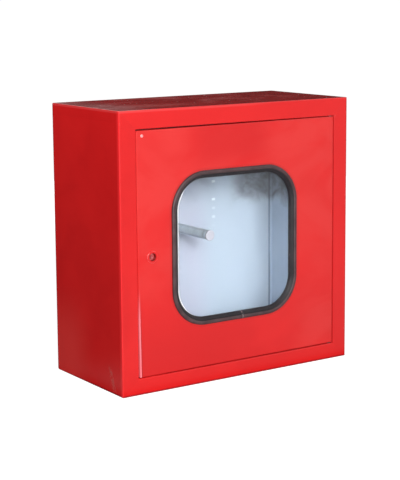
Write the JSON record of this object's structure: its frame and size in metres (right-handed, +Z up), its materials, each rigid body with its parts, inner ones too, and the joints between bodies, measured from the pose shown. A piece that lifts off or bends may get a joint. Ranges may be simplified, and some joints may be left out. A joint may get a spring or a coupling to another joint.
{
  "type": "fire hose cabinet",
  "caption": "Square red steel wall cabinet for a rolled hose, with a hinged door, a round-cornered glazed window in a rubber gasket, a quarter-turn lock and a hose peg inside.",
  "frame": {"origin": "middle of the underside of the whole cabinet, including the window gasket that stands proud of the door", "axes": "+X to the right as seen from the front, +Y to the back, +Z up; the door faces -Y"},
  "size_m": [0.6, 0.29, 0.6],
  "materials": {
    "red_paint": "gloss red enamel outside, white inside the casing and the door",
    "white_paint": "satin white enamel",
    "galvanised_steel": "dull galvanised tube",
    "zinc_plate": "bright zinc plate",
    "cast_zinc": "die-cast zinc, dull nickel plate",
    "black_rubber": "extruded rubber, satin",
    "black_foam": "closed-cell foam strip",
    "nylon": "black nylon",
    "white_plastic": "moulded white plastic",
    "clear_glass": "clear float glass"
  },
  "bodies": {
    "casing": {"side_wall_left": "red_paint", "side_wall_right": "red_paint", "top_wall": "red_paint", "bottom_wall": "red_paint", "back_panel": "white_paint", "hose_peg_plate": "white_paint", "hose_peg_tube": "galvanised_steel", "hose_peg_end_cap": "white_plastic", "peg_weld_studs": "zinc_plate", "peg_washers": "zinc_plate", "peg_nuts": "zinc_plate", "door_seal": "black_foam", "latch_strike_plate": "white_paint", "hinge_pin_top": "zinc_plate", "hinge_pin_bottom": "zinc_plate", "hinge_washer_top": "nylon", "hinge_washer_bottom": "nylon"},
    "door": {"door_skin": "red_paint", "hinge_bracket_top": "white_paint", "hinge_bracket_bottom": "white_paint", "window_gasket": "black_rubber", "gasket_locking_strip": "black_rubber", "window_pane": "clear_glass", "door_buffer": "black_rubber", "door_buffer_rivet": "red_paint", "lock_housing": "red_paint", "lock_nut": "zinc_plate"},
    "latch": {"lock_spindle": "cast_zinc", "lock_cam": "zinc_plate", "lock_cam_screw": "zinc_plate"}
  },
  "joints": [
    {"name": "door_swing", "type": "hinge", "parent": "casing", "child": "door", "pos_m": [0.2535, -0.1335, 0.297], "axis": [0, 0, 1], "range_deg": [0, 105]},
    {"name": "lock_turn", "type": "hinge", "parent": "door", "child": "latch", "pos_m": [-0.224, -0.13, 0.2915], "axis": [0, 1, 0], "range_deg": [0, 90]}
  ]
}
